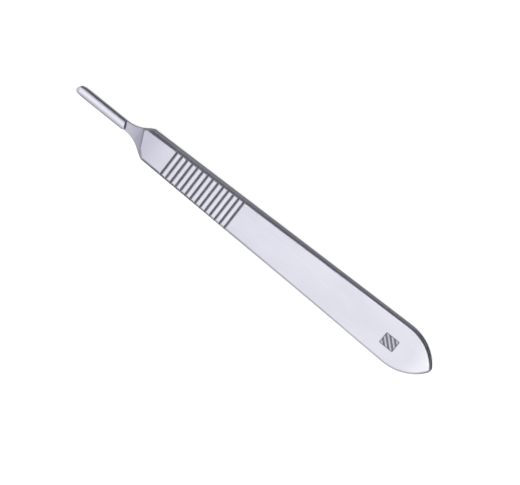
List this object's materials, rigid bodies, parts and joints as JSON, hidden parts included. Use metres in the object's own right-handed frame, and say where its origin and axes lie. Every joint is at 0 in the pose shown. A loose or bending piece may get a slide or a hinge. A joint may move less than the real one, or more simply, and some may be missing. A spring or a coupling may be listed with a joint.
{
  "type": "scalpel handle",
  "caption": "Flat tapering scalpel handle with cross grooves on both faces, slanted shoulder step and a grooved tongue that a blade slides on to.",
  "frame": {"origin": "on the flat back of the handle, under the middle of its bounding box", "axes": "+X along the handle towards the tip of the blade fitting, +Y across the handle towards the shoulder that is set further back, +Z out of the upper face"},
  "size_m": [0.135, 0.0156, 0.0031],
  "materials": {
    "steel": "satin"
  },
  "bodies": {
    "root": {"scalpel_handle": "steel"}
  },
  "joints": []
}
